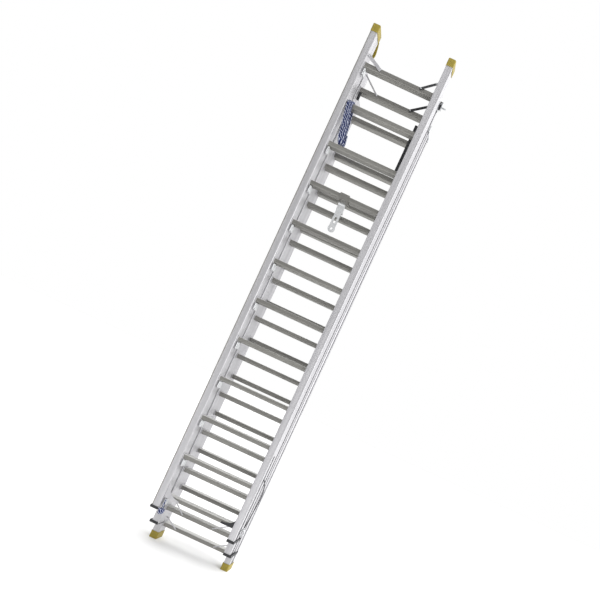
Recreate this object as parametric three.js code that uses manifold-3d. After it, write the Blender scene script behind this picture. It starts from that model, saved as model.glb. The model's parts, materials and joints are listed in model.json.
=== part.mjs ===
// A three-section, rope-operated extension ladder, closed. Millimetres, +Z up, +X along the rungs,
// -Y towards the climber. The origin is on the ground, midway between the two feet in X and midway
// through the three sections in Y. The front section (fly) runs on the middle one (mid), which runs
// on the rear one (base).
import * as THREE from "three";
import { mergeVertices } from "three/addons/utils/BufferGeometryUtils.js";
import Module from "manifold-3d";

// Driving dimensions.
const RUNG_PITCH = 280;
const RUNG_DEPTH = 50;
const RUNG_HEIGHT = 30;
const RUNG_ROUND = 9; // radius of a rung's two lower edges
const RUNG_WALL = 2.5;
const RUNG_TAIL = 6; // how far a rung stands out past the far side of the web
const FLANGE = 45; // width of a stile across X
const STILE_DEPTH = 82; // depth of a stile across Y
const SECTION_SPACING = 88; // from one section to the next across Y
const WEB = 3.2;
const LIP = 28; // length of the turned lips at the flange edges
const LIP_THICK = 3.5;
const CORNER = 2; // chamfer that stands for the stile's rounded edges
const GAP = 0.3; // left between pieces that touch

// The three sections, front to rear: outer half width, centre plane, stile ends and rung levels.
const SECTIONS = {
  fly: { half: 290, y: -SECTION_SPACING, bottom: 258.5, top: 3672, rung0: 352, rungs: 12, missing: [] },
  mid: { half: 284, y: 0, bottom: 135.5, top: 3457, rung0: 252, rungs: 12, missing: [10] },
  base: { half: 290, y: SECTION_SPACING, bottom: 14.5, top: 3318, rung0: 111, rungs: 12, missing: [] },
};

const COLOURS = {
  aluminium: new THREE.MeshStandardMaterial({ color: 0xb9bcbf, roughness: 0.42, metalness: 0.9 }),
  rung: new THREE.MeshStandardMaterial({ color: 0x8f8a80, roughness: 0.5, metalness: 0.8 }),
  yellow: new THREE.MeshStandardMaterial({ color: 0xb98a12, roughness: 0.55, metalness: 0 }),
  black: new THREE.MeshStandardMaterial({ color: 0x17181b, roughness: 0.6, metalness: 0 }),
  casting: new THREE.MeshStandardMaterial({ color: 0xc9cbcd, roughness: 0.45, metalness: 0.85 }),
  steel: new THREE.MeshStandardMaterial({ color: 0x9a9ca0, roughness: 0.35, metalness: 0.95 }),
  rope: new THREE.MeshStandardMaterial({ color: 0x1c2550, roughness: 0.9, metalness: 0 }),
};

const wasm = await Module();
wasm.setup();

function toSolid(geometry) {
  const bare = geometry.clone();
  bare.deleteAttribute("normal");
  bare.deleteAttribute("uv");
  const merged = mergeVertices(bare, 1e-3);
  return new wasm.Manifold(
    new wasm.Mesh({
      numProp: 3,
      vertProperties: new Float32Array(merged.attributes.position.array),
      triVerts: new Uint32Array(merged.index.array),
    }),
  );
}

function toGeometry(solid) {
  const mesh = solid.getMesh();
  const geometry = new THREE.BufferGeometry();
  geometry.setAttribute("position", new THREE.BufferAttribute(new Float32Array(mesh.vertProperties), 3));
  geometry.setIndex(new THREE.BufferAttribute(new Uint32Array(mesh.triVerts), 1));
  return geometry;
}

const union = (geometries) =>
  toGeometry(geometries.map(toSolid).reduce((sum, solid) => sum.add(solid)));

const cut = (geometry, holes) =>
  toGeometry(holes.map(toSolid).reduce((rest, hole) => rest.subtract(hole), toSolid(geometry)));

// A box between two corners.
function box(low, high) {
  const size = high.map((value, i) => value - low[i]);
  const centre = high.map((value, i) => (value + low[i]) / 2);
  return new THREE.BoxGeometry(...size).translate(...centre);
}

// An outline drawn in X and Y, carried up from z0 to z1.
function upright(points, z0, z1) {
  const shape = new THREE.Shape(points.map(([x, y]) => new THREE.Vector2(x, y)));
  return new THREE.ExtrudeGeometry(shape, { depth: z1 - z0, bevelEnabled: false }).translate(0, 0, z0);
}

const ACROSS = new THREE.Matrix4().makeBasis(
  new THREE.Vector3(0, 1, 0),
  new THREE.Vector3(0, 0, 1),
  new THREE.Vector3(1, 0, 0),
);

// An outline drawn in Y and Z, carried across from x0 to x1.
function across(points, x0, x1) {
  const shape = new THREE.Shape(points.map(([y, z]) => new THREE.Vector2(y, z)));
  const geometry = new THREE.ExtrudeGeometry(shape, { depth: x1 - x0, bevelEnabled: false });
  return geometry.applyMatrix4(ACROSS).translate(x0, 0, 0);
}

// Points on an arc, both ends included, angles in degrees.
function arc(cx, cy, radius, from, to, steps) {
  return Array.from({ length: steps + 1 }, (_, i) => {
    const angle = THREE.MathUtils.degToRad(from + ((to - from) * i) / steps);
    return [cx + radius * Math.cos(angle), cy + radius * Math.sin(angle)];
  });
}

// A rectangle with round corners, in any plane.
function roundRectangle(x0, y0, x1, y1, radius, steps) {
  return [
    ...arc(x1 - radius, y0 + radius, radius, -90, 0, steps),
    ...arc(x1 - radius, y1 - radius, radius, 0, 90, steps),
    ...arc(x0 + radius, y1 - radius, radius, 90, 180, steps),
    ...arc(x0 + radius, y0 + radius, radius, 180, 270, steps),
  ];
}

// A round rod along X.
const rodAcross = (radius, x0, x1, y, z, sides) =>
  across(arc(y, z, radius, 0, 360 * (1 - 1 / sides), sides - 1), x0, x1);

// The left-hand copy of a right-hand geometry, with its faces still pointing out.
function mirrored(geometry) {
  const flat = geometry.index ? geometry.toNonIndexed() : geometry.clone();
  const copy = new THREE.BufferGeometry().setAttribute("position", flat.getAttribute("position").clone());
  copy.scale(-1, 1, 1);
  const p = copy.attributes.position.array;
  for (let i = 0; i < p.length; i += 9) {
    for (let k = 0; k < 3; k += 1) {
      const kept = p[i + 3 + k];
      p[i + 3 + k] = p[i + 6 + k];
      p[i + 6 + k] = kept;
    }
  }
  return copy;
}

const ladder = new THREE.Group();

function addNode(name, geometry, material) {
  const mesh = new THREE.Mesh(geometry, material);
  mesh.name = name;
  ladder.add(mesh);
}

// A right-hand piece and its mirror image.
function addPair(name, geometry, material) {
  addNode(name + "_right", geometry, material);
  addNode(name + "_left", mirrored(geometry), material);
}

const rungLevel = (section, i) => section.rung0 + RUNG_PITCH * i;

const rungNumbers = (section) =>
  Array.from({ length: section.rungs }, (_, i) => i).filter((i) => !section.missing.includes(i));

// Rung: a tube with a flat tread on top and two rounded lower edges.
function rungOutline(y, z, grow) {
  const side = RUNG_DEPTH / 2 + grow;
  const top = z + RUNG_HEIGHT / 2 + grow;
  const radius = RUNG_ROUND + grow;
  const low = z - RUNG_HEIGHT / 2 - grow + radius;
  return [
    ...arc(y - side + radius, low, radius, 180, 270, 3),
    ...arc(y + side - radius, low, radius, 270, 360, 3),
    [y + side, top - CORNER],
    [y + side - CORNER, top],
    [y - side + CORNER, top],
    [y - side, top - CORNER],
  ];
}

function rung(section, i) {
  const end = webOuter(section) + RUNG_TAIL;
  const level = rungLevel(section, i);
  const outside = across(rungOutline(section.y, level, 0), -end, end);
  return cut(outside, [across(rungOutline(section.y, level, -RUNG_WALL), -end - 1, end + 1)]);
}

const webOuter = (section) => section.half - FLANGE + WEB;

function addRungs(label, section) {
  for (const i of rungNumbers(section)) {
    addNode(label + "_rung_" + String(i + 1).padStart(2, "0"), rung(section, i), COLOURS.rung);
  }
}

// Stile: a channel with its web inside and its lipped flanges pointing out, punched for the rungs.
function stile(section) {
  const inner = section.half - FLANGE;
  const outer = section.half;
  const y0 = section.y - STILE_DEPTH / 2;
  const y1 = section.y + STILE_DEPTH / 2;
  const outline = [
    [inner + CORNER, y0],
    [outer - CORNER, y0],
    [outer, y0 + CORNER],
    [outer, y0 + LIP],
    [outer - LIP_THICK, y0 + LIP],
    [outer - LIP_THICK, y0 + WEB],
    [inner + WEB, y0 + WEB],
    [inner + WEB, y1 - WEB],
    [outer - LIP_THICK, y1 - WEB],
    [outer - LIP_THICK, y1 - LIP],
    [outer, y1 - LIP],
    [outer, y1 - CORNER],
    [outer - CORNER, y1],
    [inner + CORNER, y1],
    [inner, y1 - CORNER],
    [inner, y0 + CORNER],
  ];
  const holes = rungNumbers(section).map((i) =>
    across(rungOutline(section.y, rungLevel(section, i), GAP), inner - 1, inner + WEB + 1),
  );
  return cut(upright(outline, section.bottom, section.top), holes);
}

// The space a stile fills, grown by the gap, for the sockets of the pieces that go on its ends.
function stileSocket(section, z0, z1) {
  return box(
    [section.half - FLANGE - GAP, section.y - STILE_DEPTH / 2 - GAP, z0],
    [section.half + GAP, section.y + STILE_DEPTH / 2 + GAP, z1],
  );
}

// Yellow cap on the top of a fly stile, with the bowed tongue that bears on the wall behind it.
const CAP_HEIGHT = 52;
const CAP_WALL = 3.5;
const CAP_CROWN = 15; // how far the cap stands above the stile's end
const TONGUE_INSET = 6; // how far the tongue stands inboard of the web
const TONGUE_WIDTH = 42;
const TONGUE_THICK = 5;
const TONGUE_DROP = 112;
const TONGUE_BOW = 30;

function flyCap() {
  const s = SECTIONS.fly;
  const top = s.top + CAP_CROWN;
  const low = top - CAP_HEIGHT;
  const front = s.y - STILE_DEPTH / 2 - CAP_WALL;
  const rear = s.y + STILE_DEPTH / 2 + CAP_WALL;
  const x0 = s.half - FLANGE - CAP_WALL;
  const x1 = s.half + CAP_WALL;
  const shell = upright(roundRectangle(x0, front, x1, rear, 6, 3), low, top - 4);
  const crown = upright(roundRectangle(x0 + 3, front + 3, x1 - 3, rear - 3, 5, 3), top - 5, top);
  const span = TONGUE_DROP + 8;
  const outerBow = Array.from({ length: 11 }, (_, i) => [
    rear - 1.5 + TONGUE_BOW * Math.sin((Math.PI * i) / 10),
    low - TONGUE_DROP + (span * i) / 10,
  ]);
  const innerBow = outerBow.map(([y, z]) => [y - TONGUE_THICK, z]).reverse();
  const tongueX = s.half - FLANGE - TONGUE_INSET;
  const tongue = across([...outerBow, ...innerBow], tongueX, tongueX + TONGUE_WIDTH);
  return cut(union([shell, crown, tongue]), [stileSocket(s, low - TONGUE_DROP - 5, s.top + GAP)]);
}

// Yellow foot on the bottom of a base stile, with two grooves across its sole.
const FOOT_HEIGHT = 50;
const FOOT_WALL = 3.5;
const GROOVE = 3; // half width and depth of the grooves across the sole

function foot() {
  const s = SECTIONS.base;
  const x0 = s.half - FLANGE - FOOT_WALL;
  const x1 = s.half + FOOT_WALL;
  const y0 = s.y - STILE_DEPTH / 2 - FOOT_WALL;
  const y1 = s.y + STILE_DEPTH / 2 + FOOT_WALL;
  const body = upright(roundRectangle(x0, y0, x1, y1, 6, 3), 0, FOOT_HEIGHT);
  const grooves = [-24, 24].map((dy) =>
    box([x0 - 1, s.y + dy - GROOVE, -1], [x1 + 1, s.y + dy + GROOVE, GROOVE]),
  );
  return cut(body, [stileSocket(s, s.bottom - GAP, FOOT_HEIGHT + 1), ...grooves]);
}

// Guide: a shoe on a stile's end, open to the inside, with an arm that hooks round the lip of the
// next stile.
const GUIDE_WALL = 3;
const HOOK_DEPTH = 8;
const HOOK_CLEAR = 2; // between the hook and the lip it goes round
const ARM_OUT = 297; // outer face of the arms
const ARM_IN = 291; // inner face of the arms, clear of both stiles
const HOOK_TIP = 257; // how far the hook reaches into the next channel

function guide(own, next, low, high, end) {
  const side = Math.sign(next.y - own.y);
  const near = own.y - side * (STILE_DEPTH / 2 + GUIDE_WALL);
  const far = own.y + side * (STILE_DEPTH / 2 + GUIDE_WALL);
  const lip = next.y - side * (STILE_DEPTH / 2 - LIP);
  const hook0 = lip + side * HOOK_CLEAR;
  const hook1 = hook0 + side * HOOK_DEPTH;
  const ordered = (a, b) => [Math.min(a, b), Math.max(a, b)];
  const [bodyY0, bodyY1] = ordered(near, far);
  const [armY0, armY1] = ordered(own.y, hook1);
  const [hookY0, hookY1] = ordered(hook0, hook1);
  const body = box([own.half - FLANGE, bodyY0, low], [ARM_OUT, bodyY1, high]);
  const arm = box([ARM_IN, armY0, low], [ARM_OUT, armY1, high]);
  const hook = box([HOOK_TIP, hookY0, low], [ARM_OUT, hookY1, high]);
  const [z0, z1] = end === "bottom" ? [own.bottom - GAP, high + 1] : [low - 1, own.top + GAP];
  return cut(union([body, arm, hook]), [stileSocket(own, z0, z1)]);
}

// Rung lock in the middle of the fly: a collar clamped round a rung, a pin, and a hanging lever
// whose nose swings back over the rung of the section behind.
const LOCK_RUNG = 8;
const PIN_RADIUS = 4;
const LEVER_HALF_WIDTH = 24;
const LEVER_LENGTH = 195;
const EAR_RADIUS = 11;
const NOSE_REACH = 55;

const lockRungZ = rungLevel(SECTIONS.fly, LOCK_RUNG);
const pivotZ = lockRungZ - 40;

function lockBracket() {
  const y = SECTIONS.fly.y;
  const collar = box([-32, y - 31, lockRungZ - 20], [32, y + 31, lockRungZ + 20]);
  const earOutline = [
    ...arc(y, pivotZ, EAR_RADIUS, 180, 360, 8),
    [y + EAR_RADIUS, lockRungZ - 19],
    [y - EAR_RADIUS, lockRungZ - 19],
  ];
  const ears = [across(earOutline, -30, -24), across(earOutline, 24, 30)];
  const rungHole = across(rungOutline(y, lockRungZ, GAP), -40, 40);
  const pinHole = rodAcross(PIN_RADIUS + GAP, -40, 40, y, pivotZ, 12);
  return cut(union([collar, ...ears]), [rungHole, pinHole]);
}

function lockLever() {
  const y = SECTIONS.fly.y;
  const low = pivotZ - LEVER_LENGTH;
  const w = LEVER_HALF_WIDTH;
  // Front view, X and Z: a boss, a waist and a rounded tail.
  const front = [
    [-w, pivotZ + 9],
    [-w, pivotZ - 30],
    [-w + 4, pivotZ - 60],
    [-w + 4, low + 40],
    ...arc(0, low + w, w, 180, 360, 8),
    [w - 4, low + 40],
    [w - 4, pivotZ - 60],
    [w, pivotZ - 30],
    [w, pivotZ + 9],
  ];
  const shape = new THREE.Shape(front.map(([x, z]) => new THREE.Vector2(x, z)));
  const slot = roundRectangle(-8, low + 62, 8, pivotZ - 86, 6, 2);
  const eye = arc(0, low + 24, 9, 0, 330, 11);
  shape.holes.push(new THREE.Path(slot.map(([x, z]) => new THREE.Vector2(x, z)).reverse()));
  shape.holes.push(new THREE.Path(eye.map(([x, z]) => new THREE.Vector2(x, z)).reverse()));
  const plate = new THREE.ExtrudeGeometry(shape, { depth: 10, bevelEnabled: false })
    .rotateX(Math.PI / 2)
    .translate(0, y + 5, 0);
  const boss = rodAcross(10, -w, w, y, pivotZ, 16);
  const nose = across(
    [
      [y, pivotZ - 42.5],
      [y + NOSE_REACH, pivotZ - 42.5],
      [y + NOSE_REACH, pivotZ - 33],
      [y + 40, pivotZ - 20],
      [y, pivotZ - 14],
    ],
    -13,
    13,
  );
  return cut(union([plate, boss, nose]), [rodAcross(PIN_RADIUS + GAP, -40, 40, y, pivotZ, 12)]);
}

// Rope sheave on top of the right mid stile, in a fork whose axle stands out to the side.
const SHEAVE_RADIUS = 20;
const SHEAVE_WIDTH = 12;
const AXLE_RADIUS = 5;
const sheaveZ = SECTIONS.mid.top + 4;
const sheaveX = SECTIONS.mid.half + 11;

function sheaveFork() {
  const s = SECTIONS.mid;
  const inner = s.half - FLANGE;
  const top = sheaveZ + SHEAVE_RADIUS + 10;
  const cap = box([inner - 3, s.y - 42, s.top + GAP], [s.half + 4.5, s.y + 42, s.top + 9]);
  const innerEar = box([s.half + 1, s.y - 13, sheaveZ - 34], [s.half + 4.5, s.y + 13, top]);
  const outerEar = box([sheaveX + 7, s.y - 13, sheaveZ - 16], [sheaveX + 11, s.y + 13, top]);
  const bridge = box([s.half + 1, s.y - 13, top - 5], [sheaveX + 11, s.y + 13, top]);
  const axle = rodAcross(AXLE_RADIUS, s.half + 2, sheaveX + 42, s.y, sheaveZ, 12);
  return union([cap, innerEar, outerEar, bridge, axle]);
}

function sheave() {
  const bore = AXLE_RADIUS + GAP;
  const h = SHEAVE_WIDTH / 2;
  const profile = [
    [bore, -h],
    [SHEAVE_RADIUS, -h],
    [SHEAVE_RADIUS, -h + 1.5],
    [SHEAVE_RADIUS - 6, -1.5],
    [SHEAVE_RADIUS - 6, 1.5],
    [SHEAVE_RADIUS, h - 1.5],
    [SHEAVE_RADIUS, h],
    [bore, h],
    [bore, -h],
  ];
  return new THREE.LatheGeometry(profile.map(([r, z]) => new THREE.Vector2(r, z)), 20)
    .rotateZ(-Math.PI / 2)
    .translate(sheaveX, SECTIONS.mid.y, sheaveZ);
}

// Spare rope: a hank of turns laid over the second rung from the top, as one ring of its outer shape.
const ROPE = 8;
const HANK_RUNG = 10;
const HANK_X0 = -241;
const HANK_WIDTH = 56;
const HANK_TURN_RADIUS = 33.5;
const HANK_RUN = 214;
const HANK_LEAN = 0.17; // sideways drift of the hanging turns for each unit down

function ropeHank() {
  const y = SECTIONS.fly.y;
  const z = rungLevel(SECTIONS.fly, HANK_RUNG);
  const ring = (r) => [...arc(y, z, r, 0, 180, 10), ...arc(y, z - HANK_RUN, r, 180, 360, 10)];
  const outer = across(ring(HANK_TURN_RADIUS + ROPE / 2), HANK_X0, HANK_X0 + HANK_WIDTH);
  const hole = across(ring(HANK_TURN_RADIUS - ROPE / 2), HANK_X0 - 1, HANK_X0 + HANK_WIDTH + 1);
  const geometry = cut(outer, [hole]);
  const p = geometry.attributes.position;
  for (let i = 0; i < p.count; i += 1) {
    p.setX(i, p.getX(i) + HANK_LEAN * Math.max(0, z - p.getZ(i)));
  }
  return geometry;
}

// Stopper knot of the hauling rope, inboard of the fly's left stile.
function ropeKnot() {
  const s = SECTIONS.fly;
  const z = s.bottom - 6;
  return new THREE.IcosahedronGeometry(21, 2)
    .scale(0.95, 0.9, 1.05)
    .translate(-(s.half - 68), s.y - 34, z);
}

// Cord at the right of the fly: out of the channel, down the outside of the stile, to a snap hook.
const CORD = 6;
const CORD_ROUTE = [
  [269, -88, 834],
  [270, -88, 794],
  [274, -88, 756],
  [284, -89, 722],
  [300, -90, 692],
  [314, -91, 660],
  [321, -92, 624],
  [322, -92, 584],
  [320, -91, 544],
  [317, -90, 504],
  [314, -89, 464],
  [311, -88, 424],
  [308, -88, 389],
  [305, -88, 367],
];

function sideCord() {
  const route = new THREE.CatmullRomCurve3(CORD_ROUTE.map((p) => new THREE.Vector3(...p)));
  const section = new THREE.Shape(arc(0, 0, CORD / 2, 0, 315, 7).map(([x, y]) => new THREE.Vector2(x, y)));
  return new THREE.ExtrudeGeometry(section, { steps: 36, extrudePath: route, bevelEnabled: false });
}

// Snap hook: an oval eye of round bar with a short shank where the cord is tied.
function snapHook() {
  const [x, y, z] = CORD_ROUTE[CORD_ROUTE.length - 1];
  const shank = rodAcross(4, -9, 9, 0, 0, 8).rotateY(Math.PI / 2).translate(x, y, z - GAP - 9.2);
  const eye = new THREE.TorusGeometry(12, 3, 6, 16).rotateX(Math.PI / 2).scale(1, 1, 1.7);
  return union([shank, eye.translate(x, y, z - 9.2 - 9 - 18)]);
}

for (const [label, section] of Object.entries(SECTIONS)) {
  addRungs(label, section);
  addPair(label + "_stile", stile(section), COLOURS.aluminium);
}
addPair("fly_cap", flyCap(), COLOURS.yellow);
addPair("foot", foot(), COLOURS.yellow);
addPair("fly_guide", guide(SECTIONS.fly, SECTIONS.mid, 252, 270, "bottom"), COLOURS.black);
addPair("mid_guide", guide(SECTIONS.mid, SECTIONS.base, 129, 147, "bottom"), COLOURS.black);
addPair("base_top_guide", guide(SECTIONS.base, SECTIONS.mid, 3290, 3324, "top"), COLOURS.casting);
addNode("lock_bracket", lockBracket(), COLOURS.casting);
addNode("lock_pin", rodAcross(PIN_RADIUS, -33, 33, SECTIONS.fly.y, pivotZ, 12), COLOURS.steel);
addNode("lock_lever", lockLever(), COLOURS.casting);
addNode("sheave_fork", sheaveFork(), COLOURS.steel);
addNode("rope_sheave", sheave(), COLOURS.black);
addNode("rope_hank", ropeHank(), COLOURS.rope);
addNode("rope_knot", ropeKnot(), COLOURS.rope);
addNode("side_cord", sideCord(), COLOURS.rope);
addNode("snap_hook", snapHook(), COLOURS.steel);

export default ladder;
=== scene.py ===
# %% [markdown]
# # An aluminium extension ladder
# The CAD model is loaded as a fixed frame: three nested ladder sections, their guides, caps, feet, rung
# lock and rope gear. This file gives every part its finish, replaces the plain rope gear with real
# rope, and adds collars, braces, rivets, clips, beads and channel covers. All measures are metres, +Z
# is up, the climber is at -Y.

# %% Load the frame
import json
import math

import bpy
from mathutils import Matrix, Vector


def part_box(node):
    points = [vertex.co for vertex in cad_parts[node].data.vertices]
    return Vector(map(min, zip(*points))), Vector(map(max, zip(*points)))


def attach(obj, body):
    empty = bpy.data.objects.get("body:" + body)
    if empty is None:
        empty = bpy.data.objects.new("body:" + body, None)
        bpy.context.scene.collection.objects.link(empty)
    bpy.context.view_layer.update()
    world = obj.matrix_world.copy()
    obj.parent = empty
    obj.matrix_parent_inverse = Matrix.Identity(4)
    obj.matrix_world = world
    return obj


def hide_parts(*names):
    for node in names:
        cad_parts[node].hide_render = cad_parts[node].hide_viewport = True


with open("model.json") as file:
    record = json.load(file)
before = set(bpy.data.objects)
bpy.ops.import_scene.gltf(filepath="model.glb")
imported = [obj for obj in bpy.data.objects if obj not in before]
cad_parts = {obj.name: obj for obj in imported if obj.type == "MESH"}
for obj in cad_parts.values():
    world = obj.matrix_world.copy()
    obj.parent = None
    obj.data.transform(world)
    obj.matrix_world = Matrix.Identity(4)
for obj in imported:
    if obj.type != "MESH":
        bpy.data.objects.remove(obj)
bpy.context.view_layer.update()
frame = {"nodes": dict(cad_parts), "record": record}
nodes = frame["nodes"]

MM = 0.001
PITCH = 280 * MM


def centre(name):
    low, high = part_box(name)
    return (low + high) / 2


# %% [markdown]
# ## Camera
# The camera stands three metres in front of the ladder, almost a metre to its right, at chest height.
# It looks straight along +Y, so that the stiles stay parallel, and it is rolled. The two lens shifts
# bring the whole ladder into the picture, as on a view camera.

# %% Camera
ROLL = math.radians(24.8)
right = Vector((math.cos(ROLL), 0, math.sin(ROLL)))
up = Vector((-math.sin(ROLL), 0, math.cos(ROLL)))
back = right.cross(up)
camera_data = bpy.data.cameras.new("camera")
camera_data.sensor_width = 36
camera_data.lens = 27.04
camera_data.shift_x = -0.1606
camera_data.shift_y = 0.232
camera_data.clip_end = 100
camera = bpy.data.objects.new("camera", camera_data)
bpy.context.collection.objects.link(camera)
camera.matrix_world = (
    Matrix.Translation((0.9645, -3.0334, 1.31)) @ Matrix((right, up, back)).transposed().to_4x4()
)
bpy.context.scene.camera = camera
print("camera looks along", tuple(round(-v, 3) for v in back))

# %% [markdown]
# ## Rope and cord
# Rope is laid from strands that wind round each other. Diagonal bands, laid over the cord, stand for
# them: navy strands, pale along the crest of each band where the bump is highest, a painted highlight
# on every strand. The bands also drive the bump, so each strand catches the light on its own.

# %% Rope material


def rope_material():
    material = bpy.data.materials.new("laid_rope")
    material.use_nodes = True
    tree = material.node_tree
    shader = tree.nodes["Principled BSDF"]
    shader.inputs["Roughness"].default_value = 0.85
    place = tree.nodes.new("ShaderNodeTexCoord")
    bands = tree.nodes.new("ShaderNodeTexWave")
    bands.bands_direction = "DIAGONAL"
    bands.inputs["Scale"].default_value = 34
    bands.inputs["Distortion"].default_value = 7
    bands.inputs["Detail"].default_value = 3
    tree.links.new(place.outputs["Object"], bands.inputs["Vector"])
    ramp = tree.nodes.new("ShaderNodeValToRGB")
    ramp.color_ramp.elements[0].color = (0.008, 0.014, 0.07, 1)
    # The pale colour at the top of the ramp is a painted highlight on the strands' crests.
    ramp.color_ramp.elements[1].color = (0.55, 0.58, 0.66, 1)
    ramp.color_ramp.elements[1].position = 0.97
    middle = ramp.color_ramp.elements.new(0.7)
    middle.color = (0.02, 0.035, 0.16, 1)
    tree.links.new(bands.outputs["Fac"], ramp.inputs["Fac"])
    tree.links.new(ramp.outputs["Color"], shader.inputs["Base Color"])
    fibres = tree.nodes.new("ShaderNodeTexNoise")
    fibres.inputs["Scale"].default_value = 1500
    relief = tree.nodes.new("ShaderNodeBump")
    relief.inputs["Strength"].default_value = 0.6
    relief.inputs["Distance"].default_value = 0.0015
    tree.links.new(bands.outputs["Fac"], relief.inputs["Height"])
    fuzz = tree.nodes.new("ShaderNodeBump")
    fuzz.inputs["Strength"].default_value = 0.3
    fuzz.inputs["Distance"].default_value = 0.0004
    tree.links.new(place.outputs["Object"], fibres.inputs["Vector"])
    tree.links.new(fibres.outputs["Fac"], fuzz.inputs["Height"])
    tree.links.new(relief.outputs["Normal"], fuzz.inputs["Normal"])
    tree.links.new(fuzz.outputs["Normal"], shader.inputs["Normal"])
    return material


ROPE = rope_material()


def run_length(points):
    return sum((Vector(b) - Vector(a)).length for a, b in zip(points, points[1:]))


def rope_curve(name, points, diameter):
    curve = bpy.data.curves.new(name, "CURVE")
    curve.dimensions = "3D"
    curve.bevel_depth = diameter / 2
    curve.bevel_resolution = 3
    curve.use_fill_caps = True
    line = curve.splines.new("POLY")
    line.points.add(len(points) - 1)
    for point, place in zip(line.points, points):
        point.co = (*place, 1)
    piece = bpy.data.objects.new(name, curve)
    bpy.context.collection.objects.link(piece)
    curve.materials.append(ROPE)
    return piece


# %% [markdown]
# The spare rope is wound round the fly's second rung from the top. One turn is two half circles, over
# the rung and at the bottom, with a straight run between. The winding moves along the rung by one
# diameter a turn, and the hank leans to the right as it hangs down.

# %% The hank
FLY_Y = centre("fly_rung_11").y
ROPE_DIAMETER = 8 * MM
TURN_RADIUS = 33.5 * MM
RUN = 214 * MM
LEAN = 0.17
TURNS = 4.75
STEPS = 40
hank_x = -241 * MM + ROPE_DIAMETER / 2
hank_z = centre("fly_rung_11").z
arc_length = math.pi * TURN_RADIUS
turn_length = 2 * (arc_length + RUN)


def on_turn(distance):
    along = distance % turn_length
    if along < arc_length:
        angle = along / TURN_RADIUS
        return TURN_RADIUS * math.cos(angle), TURN_RADIUS * math.sin(angle)
    if along < arc_length + RUN:
        return -TURN_RADIUS, -(along - arc_length)
    if along < 2 * arc_length + RUN:
        angle = math.pi + (along - arc_length - RUN) / TURN_RADIUS
        return TURN_RADIUS * math.cos(angle), -RUN + TURN_RADIUS * math.sin(angle)
    return TURN_RADIUS, -RUN + (along - 2 * arc_length - RUN)


hank_points = []
for step in range(int(TURNS * STEPS) + 1):
    travelled = turn_length * step / STEPS
    y, z = on_turn(travelled)
    x = hank_x + step / STEPS * ROPE_DIAMETER * 1.04 + LEAN * max(0, -z)
    hank_points.append((x, FLY_Y + y, hank_z + z))
hank = rope_curve("spare_rope", hank_points, ROPE_DIAMETER)
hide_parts("rope_hank")
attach(hank, "fly")
print("spare rope:", round(run_length(hank_points), 3), "m")

# %% [markdown]
# The stopper knot is a trefoil knot's curve, drawn so thick that its strands touch. That gives it the
# lumps of a real one. A short tail of rope joins it to the rung above.

# %% The stopper knot
KNOT_STEPS = 96
KNOT_STRAND = 17 * MM
KNOT_WIDTH = 4.7 * MM
KNOT_HEIGHT = 4.9 * MM
TAIL_STEP = 4 * MM
TAIL_STEPS = 16
knot_centre = centre("rope_knot")
knot_points = []
for step in range(KNOT_STEPS + 1):
    angle = math.tau * step / KNOT_STEPS
    knot_points.append(
        (
            knot_centre.x + KNOT_WIDTH * (math.sin(angle) + 2 * math.sin(2 * angle)),
            knot_centre.y + KNOT_WIDTH * -math.sin(3 * angle) * 2,
            knot_centre.z + KNOT_HEIGHT * (math.cos(angle) - 2 * math.cos(2 * angle)),
        )
    )
knot = rope_curve("stopper_knot", knot_points, KNOT_STRAND)
bpy.ops.object.select_all(action="DESELECT")
knot.select_set(True)
bpy.context.view_layer.objects.active = knot
bpy.ops.object.convert(target="MESH")
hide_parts("rope_knot")
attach(knot, "fly")
knot_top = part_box("rope_knot")[1].z - 6 * MM
tail_points = [
    (knot_centre.x, knot_centre.y, knot_top + TAIL_STEP * step) for step in range(TAIL_STEPS, -1, -1)
]
tail = rope_curve("hauling_rope_tail", tail_points, ROPE_DIAMETER)
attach(tail, "fly")
print("knot faces:", len(knot.data.polygons), "tail:", round(run_length(tail_points), 3), "m")

# %% [markdown]
# The side cord comes out of the right channel and hangs down the outside of the stile to its hook. Its
# route is given in millimetres, and a Catmull-Rom curve through the points smooths it.

# %% The side cord
SIDE_DIAMETER = 6 * MM
SIDE_STEPS = 4
SIDE_ROUTE = [
    (269, -88, 834),
    (270, -88, 794),
    (274, -88, 756),
    (284, -89, 722),
    (300, -90, 692),
    (314, -91, 660),
    (321, -92, 624),
    (322, -92, 584),
    (320, -91, 544),
    (317, -90, 504),
    (314, -89, 464),
    (311, -88, 424),
    (308, -88, 389),
    (305, -88, 367),
]
smooth_side = []
for i in range(len(SIDE_ROUTE) - 1):
    before = Vector(SIDE_ROUTE[max(i - 1, 0)])
    here, there = Vector(SIDE_ROUTE[i]), Vector(SIDE_ROUTE[i + 1])
    after = Vector(SIDE_ROUTE[min(i + 2, len(SIDE_ROUTE) - 1)])
    for step in range(SIDE_STEPS):
        t = step / SIDE_STEPS
        smooth_side.append(
            0.5
            * (
                2 * here
                + (there - before) * t
                + (2 * before - 5 * here + 4 * there - after) * t**2
                + (3 * here - before - 3 * there + after) * t**3
            )
        )
smooth_side.append(Vector(SIDE_ROUTE[-1]))
side_points = [tuple(point * MM) for point in smooth_side]
tie_cord = rope_curve("tie_cord", side_points, SIDE_DIAMETER)
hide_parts("side_cord")
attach(tie_cord, "fly")
print("side cord:", round(run_length(side_points), 3), "m")

# %% [markdown]
# ## Studio
# Bare metal shows what stands around it. A pale floor and a white backdrop behind the ladder light its
# flanks, a greyer room behind the camera keeps the front faces a shade darker, one wide sun overhead
# whitens the treads, and a soft box stands on the right. The left of the room is dark, which darkens
# the faces that turn to the left. The world's colour only depends on direction, so it is the same in
# every view, and the backdrop itself is seen as plain white.

# %% Floor and lights
scene = bpy.context.scene
scene.view_settings.view_transform = "Standard"


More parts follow.
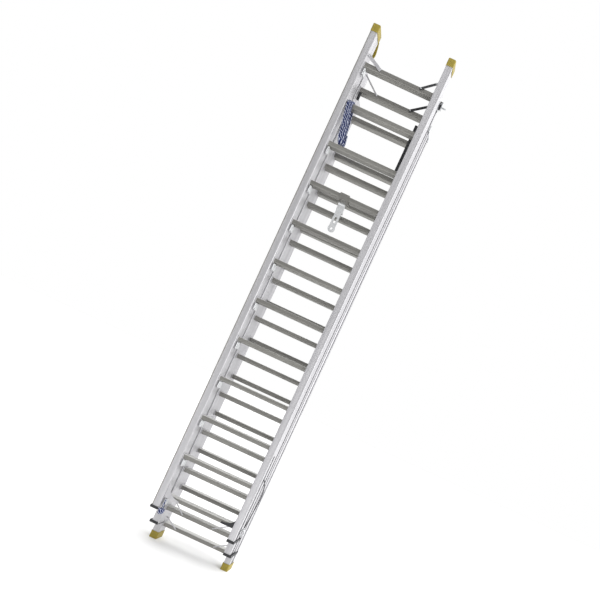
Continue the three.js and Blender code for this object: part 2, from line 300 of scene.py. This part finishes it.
def floor_material():
    material = bpy.data.materials.new("studio_floor")
    material.use_nodes = True
    tree = material.node_tree
    shader = tree.nodes["Principled BSDF"]
    shader.inputs["Roughness"].default_value = 0.9
    noise = tree.nodes.new("ShaderNodeTexNoise")
    noise.inputs["Scale"].default_value = 3
    ramp = tree.nodes.new("ShaderNodeValToRGB")
    ramp.color_ramp.elements[0].color = (0.93, 0.93, 0.93, 1)
    ramp.color_ramp.elements[1].color = (0.95, 0.95, 0.95, 1)
    tree.links.new(noise.outputs["Fac"], ramp.inputs["Fac"])
    tree.links.new(ramp.outputs["Color"], shader.inputs["Base Color"])
    return material


bpy.ops.object.select_all(action="DESELECT")
bpy.ops.mesh.primitive_plane_add(size=60, location=(0, 0, -0.0005))
floor = bpy.context.object
floor.name = "floor"
floor.data.materials.append(floor_material())

world = bpy.data.worlds.new("studio")
scene.world = world
world.use_nodes = True
tree = world.node_tree
direction = tree.nodes.new("ShaderNodeTexCoord")
split = tree.nodes.new("ShaderNodeSeparateXYZ")
tree.links.new(direction.outputs["Generated"], split.inputs["Vector"])
depth = tree.nodes.new("ShaderNodeMapRange")
depth.inputs["From Min"].default_value = -0.6
depth.inputs["From Max"].default_value = 0.35
depth.inputs["To Min"].default_value = 0.5
depth.inputs["To Max"].default_value = 1.0
depth.interpolation_type = "SMOOTHSTEP"
tree.links.new(split.outputs["Y"], depth.inputs["Value"])
leftward = tree.nodes.new("ShaderNodeMapRange")
leftward.inputs["From Min"].default_value = -0.85
leftward.inputs["From Max"].default_value = -0.1
leftward.inputs["To Min"].default_value = 0.25
tree.links.new(split.outputs["X"], leftward.inputs["Value"])
shade = tree.nodes.new("ShaderNodeMath")
shade.operation = "MULTIPLY"
tree.links.new(depth.outputs["Result"], shade.inputs[0])
tree.links.new(leftward.outputs["Result"], shade.inputs[1])
path = tree.nodes.new("ShaderNodeLightPath")
seen = tree.nodes.new("ShaderNodeMix")
seen.inputs["B"].default_value = 1.0
tree.links.new(path.outputs["Is Camera Ray"], seen.inputs["Factor"])
tree.links.new(shade.outputs["Value"], seen.inputs["A"])
background = tree.nodes["Background"]
tree.links.new(seen.outputs["Result"], background.inputs["Strength"])
background.inputs["Color"].default_value = (1, 1, 1, 1)


def lamp(name, location, target, size, power):
    data = bpy.data.lights.new(name, "AREA")
    data.size = size
    data.energy = power
    lamp_object = bpy.data.objects.new(name, data)
    bpy.context.collection.objects.link(lamp_object)
    aim = (Vector(target) - Vector(location)).to_track_quat("-Z", "Y")
    lamp_object.matrix_world = Matrix.Translation(location) @ aim.to_matrix().to_4x4()


sun_data = bpy.data.lights.new("overhead", "SUN")
sun_data.energy = 2.1
sun_data.angle = math.radians(110)
sun = bpy.data.objects.new("overhead", sun_data)
bpy.context.collection.objects.link(sun)
sun.matrix_world = Matrix.Translation((0, 0, 6)) @ Matrix.Rotation(math.radians(12), 4, "Y")
lamp("right_softbox", (4.5, -1.5, 2.5), (0, 0, 1.8), 3.0, 160)

# %% [markdown]
# ## Finishes
# A finish is a few layers: a base colour that drifts a little, roughness that drifts with it, and a
# fine bump. Worn patches and a painted highlight are optional. The highlight is a lighter colour on
# faces that point up, painted in for the light from overhead. A helper builds that, and each finish
# then says only what is its own. Extruded stiles carry long draw lines, so their noise is stretched
# along
# Z. The rungs' noise is stretched along X.

# %% Finish helper


def finish(
    name, dark, light, rough, metal=0.0, scale=40, stretch=(1, 1, 1), bump=0.1, grain=300,
    wear=0.0, wear_colour=(0.8, 0.8, 0.8), top_highlight=None,
):
    material = bpy.data.materials.new(name)
    material.use_nodes = True
    tree = material.node_tree
    shader = tree.nodes["Principled BSDF"]
    shader.inputs["Metallic"].default_value = metal
    place = tree.nodes.new("ShaderNodeTexCoord")
    mapping = tree.nodes.new("ShaderNodeMapping")
    mapping.inputs["Scale"].default_value = stretch
    tree.links.new(place.outputs["Object"], mapping.inputs["Vector"])
    drift = tree.nodes.new("ShaderNodeTexNoise")
    drift.inputs["Scale"].default_value = scale
    drift.inputs["Detail"].default_value = 8
    drift.inputs["Roughness"].default_value = 0.6
    tree.links.new(mapping.outputs["Vector"], drift.inputs["Vector"])
    ramp = tree.nodes.new("ShaderNodeValToRGB")
    ramp.color_ramp.elements[0].position = 0.3
    ramp.color_ramp.elements[1].position = 0.7
    ramp.color_ramp.elements[0].color = (*dark, 1)
    ramp.color_ramp.elements[1].color = (*light, 1)
    tree.links.new(drift.outputs["Fac"], ramp.inputs["Fac"])
    colour = ramp.outputs["Color"]
    if wear:
        patches = tree.nodes.new("ShaderNodeTexNoise")
        patches.inputs["Scale"].default_value = 9
        patches.inputs["Detail"].default_value = 10
        patches.inputs["Roughness"].default_value = 0.75
        tree.links.new(place.outputs["Object"], patches.inputs["Vector"])
        edge = tree.nodes.new("ShaderNodeMapRange")
        edge.inputs["From Min"].default_value = 0.62
        edge.inputs["From Max"].default_value = 0.72
        edge.inputs["To Max"].default_value = wear
        tree.links.new(patches.outputs["Fac"], edge.inputs["Value"])
        worn = tree.nodes.new("ShaderNodeMix")
        worn.data_type = "RGBA"
        worn.inputs["B"].default_value = (*wear_colour, 1)
        tree.links.new(edge.outputs["Result"], worn.inputs["Factor"])
        tree.links.new(colour, worn.inputs["A"])
        colour = worn.outputs["Result"]
    # Painted highlight: faces that point up are mixed towards a lighter colour, which stands for the
    # overhead light.
    if top_highlight:
        facing = tree.nodes.new("ShaderNodeNewGeometry")
        parts = tree.nodes.new("ShaderNodeSeparateXYZ")
        tree.links.new(facing.outputs["Normal"], parts.inputs["Vector"])
        top_highlight_mask = tree.nodes.new("ShaderNodeMapRange")
        top_highlight_mask.inputs["From Min"].default_value = 0.3
        top_highlight_mask.inputs["From Max"].default_value = 0.8
        tree.links.new(parts.outputs["Z"], top_highlight_mask.inputs["Value"])
        top_highlight_mix = tree.nodes.new("ShaderNodeMix")
        top_highlight_mix.data_type = "RGBA"
        top_highlight_mix.inputs["B"].default_value = (*top_highlight, 1)
        tree.links.new(top_highlight_mask.outputs["Result"], top_highlight_mix.inputs["Factor"])
        tree.links.new(colour, top_highlight_mix.inputs["A"])
        colour = top_highlight_mix.outputs["Result"]
    tree.links.new(colour, shader.inputs["Base Color"])
    sheen = tree.nodes.new("ShaderNodeMapRange")
    sheen.inputs["To Min"].default_value = rough[0]
    sheen.inputs["To Max"].default_value = rough[1]
    tree.links.new(drift.outputs["Fac"], sheen.inputs["Value"])
    tree.links.new(sheen.outputs["Result"], shader.inputs["Roughness"])
    fine = tree.nodes.new("ShaderNodeTexNoise")
    fine.inputs["Scale"].default_value = grain
    fine.inputs["Detail"].default_value = 4
    tree.links.new(mapping.outputs["Vector"], fine.inputs["Vector"])
    relief = tree.nodes.new("ShaderNodeBump")
    relief.inputs["Strength"].default_value = bump
    relief.inputs["Distance"].default_value = 0.0006
    tree.links.new(fine.outputs["Fac"], relief.inputs["Height"])
    tree.links.new(relief.outputs["Normal"], shader.inputs["Normal"])
    return material


# %% The finishes
STILE = finish(
    "stile_alloy", (0.46, 0.455, 0.475), (0.60, 0.595, 0.61), (0.42, 0.58), 0.6, 30, (1, 1, 0.02),
    0.25, 500, 0.25, (0.42, 0.41, 0.42),
)
# The rungs' last colour is their painted highlight, a lighter colour on faces that point up.
RUNG = finish(
    "rung_alloy", (0.205, 0.20, 0.187), (0.305, 0.30, 0.28), (0.4, 0.55), 0.7, 30, (0.04, 1, 1),
    0.25, 500, 0.3, (0.29, 0.28, 0.26), (0.66, 0.66, 0.64),
)
CAST = finish(
    "cast_alloy", (0.60, 0.61, 0.62), (0.76, 0.77, 0.78), (0.4, 0.6), 0.7, 120, bump=0.5, grain=900,
)
STEEL = finish(
    "plated_steel", (0.40, 0.41, 0.42), (0.58, 0.59, 0.60), (0.25, 0.42), 1.0, 60, bump=0.15, grain=600,
)
YELLOW = finish(
    "yellow_plastic", (0.25, 0.195, 0.018), (0.33, 0.255, 0.028), (0.42, 0.6), 0.0, 45, (1, 1, 1),
    0.35, 1400, 0.35, (0.20, 0.14, 0.03),
)
BLACK = finish(
    "black_plastic", (0.012, 0.013, 0.015), (0.028, 0.029, 0.032), (0.4, 0.62), 0.0, 50, (1, 1, 1),
    0.35, 1200, 0.3, (0.07, 0.07, 0.07),
)

BY_SLOT = {
    "stile_alloy": STILE,
    "rung_alloy": RUNG,
    "cast_alloy": CAST,
    "plated_steel": STEEL,
    "yellow_plastic": YELLOW,
    "black_plastic": BLACK,
    "rope": ROPE,
}
tie_cord.data.materials[0] = BLACK
for part in frame["record"]["subparts"]:
    mesh = nodes[part["node"]].data
    mesh.materials.clear()
    mesh.materials.append(BY_SLOT[part["material_slot"]])
print("finishes:", sorted(m.name for m in BY_SLOT.values()))

# %% [markdown]
# ## Working pieces
# Most of what follows starts as one primitive, gets its size in edit mode and has its edges bevelled.
# Collars, beads and channel covers are then copied. Each copy has a mesh of its own, so it can take
# its own place.

# %% Helpers


def start_edit(piece):
    bpy.ops.object.select_all(action="DESELECT")
    piece.select_set(True)
    bpy.context.view_layer.objects.active = piece
    bpy.ops.object.mode_set(mode="EDIT")
    bpy.ops.mesh.select_all(action="SELECT")


def block(name, size, place, angle=0.0, edge=1 * MM):
    """A bevelled block, turned about Y by an angle in radians."""
    bpy.ops.object.select_all(action="DESELECT")
    bpy.ops.mesh.primitive_cube_add(size=1)
    piece = bpy.context.object
    piece.name = name
    start_edit(piece)
    bpy.ops.transform.resize(value=size)
    bpy.ops.mesh.bevel(offset=edge, segments=2)
    bpy.ops.object.mode_set(mode="OBJECT")
    piece.rotation_euler = (0, -angle, 0)
    piece.location = place
    bpy.ops.object.transform_apply(location=True, rotation=True, scale=True)
    return piece


def fit(piece, body, material):
    piece.data.materials.clear()
    piece.data.materials.append(material)
    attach(piece, body)
    return piece


def copy_at(piece, name, offset, flip=False):
    """A copy with its own mesh, moved, or first mirrored to the other side of the ladder."""
    twin = piece.copy()
    twin.data = piece.data.copy()
    twin.name = name
    bpy.context.collection.objects.link(twin)
    if flip:
        twin.data.transform(Matrix.Scale(-1, 4, (1, 0, 0)))
        twin.data.flip_normals()
    twin.data.transform(Matrix.Translation(offset))
    return twin


def bar(name, start, end, y, width, thick):
    """A flat bar between two points (x, z) of a ladder's plane."""
    dx, dz = end[0] - start[0], end[1] - start[1]
    place = ((start[0] + end[0]) / 2, y, (start[1] + end[1]) / 2)
    return block(name, (math.hypot(dx, dz), thick, width), place, math.atan2(dz, dx), 0.6 * MM)


def rivet(name, place):
    """A domed rivet head that faces the climber."""
    bpy.ops.object.select_all(action="DESELECT")
    bpy.ops.mesh.primitive_uv_sphere_add(segments=16, ring_count=8, radius=1)
    piece = bpy.context.object
    piece.name = name
    start_edit(piece)
    bpy.ops.transform.resize(value=(5 * MM, 2.6 * MM, 5 * MM))
    bpy.ops.object.mode_set(mode="OBJECT")
    bpy.ops.object.shade_smooth()
    piece.data.transform(Matrix.Translation(place))
    return piece


SECTION = {}
for label in ("fly", "mid", "base"):
    low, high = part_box(label + "_stile_right")
    first = centre(label + "_rung_01")
    SECTION[label] = {"web": low.x, "y": first.y, "half": high.x, "z0": first.z, "front": low.y}
print({k: {n: round(v, 4) for n, v in s.items()} for k, s in SECTION.items()})


def level(label, number):
    return SECTION[label]["z0"] + PITCH * (number - 1)


# %% [markdown]
# ### Collars
# A rung is held by swaging: its end is swelled until it grips the web on both sides, which leaves a
# raised collar round it. One collar is modelled for each section and copied to every rung end.

# %% Collars
collar_count = 0
for label, facts in SECTION.items():
    numbers = [n for n in range(1, 13) if f"{label}_rung_{n:02d}" in nodes]
    x = facts["web"] - 2.2 * MM
    pattern = block(
        f"{label}_collar_01_right",
        (4 * MM, 57 * MM, 37 * MM),
        (x, facts["y"], level(label, 1)),
        edge=1.8 * MM,
    )
    for n in numbers:
        lift = Vector((0, 0, PITCH * (n - 1)))
        for side, flip in (("right", False), ("left", True)):
            if n == 1 and not flip:
                continue
            twin = copy_at(pattern, f"{label}_collar_{n:02d}_{side}", lift, flip)
            fit(twin, label, STILE)
            collar_count += 1
    fit(pattern, label, STILE)
    collar_count += 1
print("collars:", collar_count)

# %% [markdown]
# ### Braces
# Flat braces run from the end rungs up to the stiles, which stiffens the corners. Those on the right
# at the top are black. They lie in front of the rung, and a rivet holds each end.

# %% Braces
BRACES = [
    ("fly_brace_top_left", "fly", 12, -116, 62, 22, STILE, "stile_alloy"),
    ("fly_brace_top_right", "fly", 12, 95, 77, 15, BLACK, "black_plastic"),
    ("mid_brace_top_left", "mid", 12, -126, 100, 10, STILE, "stile_alloy"),
    ("mid_brace_top_right", "mid", 12, 117, 85, 16, BLACK, "black_plastic"),
    ("mid_brace_low_left", "mid", 1, -122, 100, 8, STILE, "stile_alloy"),
    ("mid_brace_low_right", "mid", 1, 140, 88, 8, STILE, "stile_alloy"),
    ("base_brace_low_left", "base", 1, -97, 60, 8, STILE, "stile_alloy"),
    ("base_brace_low_right", "base", 1, 112, 68, 8, STILE, "stile_alloy"),
]
BRACE_Y = 28.5 * MM  # from the rung's middle to the brace's, in front of the tread
for name, label, rung, inboard, rise, width, material, slot_name in BRACES:
    facts = SECTION[label]
    side = 1 if inboard > 0 else -1
    z = level(label, rung)
    y = facts["y"] - BRACE_Y
    start = (side * (facts["web"] - abs(inboard) * MM), z)
    end = (side * (facts["web"] - 2 * MM), z + rise * MM)
    fit(bar(name, start, end, y, width * MM, 3 * MM), label, material)
    for tag, share in (("inner", 0.06), ("outer", 0.94)):
        x = start[0] + (end[0] - start[0]) * share
        height = start[1] + (end[1] - start[1]) * share
        fit(rivet(f"{name}_rivet_{tag}", (x, y - 1.5 * MM, height)), label, STEEL)
print("braces:", len(BRACES))

# %% [markdown]
# ### Gusset plates
# Solid plates fill the two corners above the fly's lowest rung. The outline is a square corner with a
# hollow curved edge. It is drawn as one face and extruded. The right plate's black finish is painted
# shade, which stands for its shaded face.

# %% Gussets


def gusset(name, side, along, up, material):
    fly = SECTION["fly"]
    corner_x = fly["web"] - 1 * MM
    corner_z = level("fly", 1)
    outline = [(corner_x, corner_z - 12 * MM), (corner_x, corner_z + up)]
    for step in range(1, 12):
        angle = math.pi / 2 * step / 12
        reach = along * (1 - math.cos(angle))
        outline.append((corner_x - reach, corner_z + up * (1 - math.sin(angle))))
    outline += [(corner_x - along, corner_z), (corner_x - along, corner_z - 12 * MM)]
    plate_y = fly["y"] - 30 * MM
    plate = bpy.data.meshes.new(name)
    plate.from_pydata([(side * x, plate_y, z) for x, z in outline], [], [list(range(len(outline)))])
    piece = bpy.data.objects.new(name, plate)
    bpy.context.collection.objects.link(piece)
    start_edit(piece)
    bpy.ops.mesh.extrude_region_move(TRANSFORM_OT_translate={"value": (0, 3.5 * MM, 0)})
    bpy.ops.mesh.select_all(action="SELECT")
    bpy.ops.mesh.normals_make_consistent(inside=False)
    bpy.ops.object.mode_set(mode="OBJECT")
    return fit(piece, "fly", material)


left_plate = gusset("fly_gusset_left", -1, 100 * MM, 110 * MM, STILE)
# Painted shade: the right plate is black to stand for its shaded face, and the left keeps the stile
# finish.
gusset("fly_gusset_right", 1, 85 * MM, 56 * MM, BLACK)
print("gusset corners:", len(left_plate.data.vertices) // 2)

# %% [markdown]
# ### Guards
# Where the mid has no rung, a black fin stands on its right web, and a short black bar stands on the
# left under the top rung. What they are for is a guess: to guide the rope and to hold its end.

# %% Guards
mid = SECTION["mid"]
guard_low, guard_high = level("mid", 10) + 144 * MM, level("mid", 12) - 46 * MM
guard = block(
    "mid_guard_right",
    (46 * MM, 8 * MM, guard_high - guard_low),
    (mid["web"] - 23.3 * MM, mid["y"] + 6 * MM, (guard_low + guard_high) / 2),
    edge=3 * MM,
)
fit(guard, "mid", BLACK)
keeper = block(
    "mid_rope_keeper", (18 * MM, 12 * MM, 52 * MM),
    (-mid["web"] + 14 * MM, mid["y"] - 20 * MM, level("mid", 12) - 46 * MM), edge=3 * MM,
)
fit(keeper, "mid", BLACK)
print("guards from", round(guard_low, 3), "to", round(guard_high, 3))

# %% [markdown]
# ### Edge beads
# The outer edges of the fly's front flanges are round beads. Each is a cylinder almost as long as the
# stile and sunk into its corner. The left one takes the darker rung finish as painted shade, for the
# shade on the rounded edge that turns to the dark left of the room.

# %% Edge beads
BEAD = 4 * MM
fly_low, fly_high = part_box("fly_stile_right")
bpy.ops.object.select_all(action="DESELECT")
bpy.ops.mesh.primitive_cylinder_add(vertices=24, radius=BEAD, depth=fly_high.z - fly_low.z - 2 * MM)
bead = bpy.context.object
bead.name = "fly_bead_right"
start_edit(bead)
bpy.ops.mesh.bevel(offset=0.6 * MM, segments=1)
bpy.ops.object.mode_set(mode="OBJECT")
bpy.ops.object.shade_smooth_by_angle(angle=math.radians(35))
bead.data.transform(
    Matrix.Translation((fly_high.x - 2.6 * MM, fly_low.y + 2.6 * MM, (fly_low.z + fly_high.z) / 2))
)
left_bead_painted_shade = copy_at(bead, "fly_bead_left", (0, 0, 0), True)
fit(bead, "fly", STILE)
# Painted shade: the left bead's darker rung finish stands for the shade on its rounded edge.
fit(left_bead_painted_shade, "fly", RUNG)
print("beads:", round(fly_high.z - fly_low.z, 3), "m")

# %% [markdown]
# ### Knee clips
# Under the left ends of the fly's rungs a small cast clip stands against the web. A clip is a bevelled
# block with a shallow recess in its front. The rung that carries the hank has none.

# %% Knee clips
HANK_RUNG = 11
clip_x = -(SECTION["fly"]["web"] - 15 * MM)
for number in range(1, 13):
    if number == HANK_RUNG:
        continue
    place = (clip_x, SECTION["fly"]["y"] - 4 * MM, level("fly", number) - 42 * MM)
    clip = block(f"fly_clip_{number:02d}", (13 * MM, 34 * MM, 46 * MM), place, edge=3 * MM)
    start_edit(clip)
    bpy.ops.mesh.select_all(action="DESELECT")
    bpy.ops.object.mode_set(mode="OBJECT")
    front = min(clip.data.polygons, key=lambda face: face.center.y)
    front.select = True
    bpy.ops.object.mode_set(mode="EDIT")
    bpy.ops.mesh.inset(thickness=2.5 * MM, depth=-2 * MM)
    bpy.ops.object.mode_set(mode="OBJECT")
    fit(clip, "fly", CAST)
print("clips at x", round(clip_x, 3))

# %% [markdown]
# ### Channel covers
# A thin strip closes each of the fly's channels, from just above the cord's outlet to just under the
# cap.

# %% Channel covers
cover_low, cover_high = side_points[0][2] + 40 * MM, fly_high.z - 45 * MM
cover = block(
    "fly_cover_right",
    (1.6 * MM, 25.2 * MM, cover_high - cover_low),
    (fly_high.x - 1.4 * MM, SECTION["fly"]["y"], (cover_low + cover_high) / 2),
    edge=0.5 * MM,
)
left_cover = copy_at(cover, "fly_cover_left", (0, 0, 0), True)
fit(cover, "fly", STILE)
fit(left_cover, "fly", STILE)
print("covers:", round(cover_high - cover_low, 3), "m")

# %% [markdown]
# ### Rounded edges
# No extrusion or moulding has a perfectly sharp edge, and a small round is what catches a line of
# light. The CAD meshes keep their shape: a weld joins their loose triangles and a bevel rounds them.

# %% Rounded edges
EDGE = {
    "stile": 1.0 * MM,
    "rung": 0.8 * MM,
    "cap": 1.6 * MM,
    "foot": 1.6 * MM,
    "guide": 1.0 * MM,
    "lock": 1.0 * MM,
}
rounded = 0
for name, node in nodes.items():
    width = next((w for word, w in EDGE.items() if word in name), None)
    if width is None or name == "lock_pin":
        continue
    weld = node.modifiers.new("weld", "WELD")
    weld.merge_threshold = 0.02 * MM
    bevel = node.modifiers.new("edges", "BEVEL")
    bevel.width = width
    bevel.segments = 2
    bevel.limit_method = "ANGLE"
    bevel.angle_limit = math.radians(50)
    bevel.use_clamp_overlap = True
    rounded += 1
print("rounded nodes:", rounded)
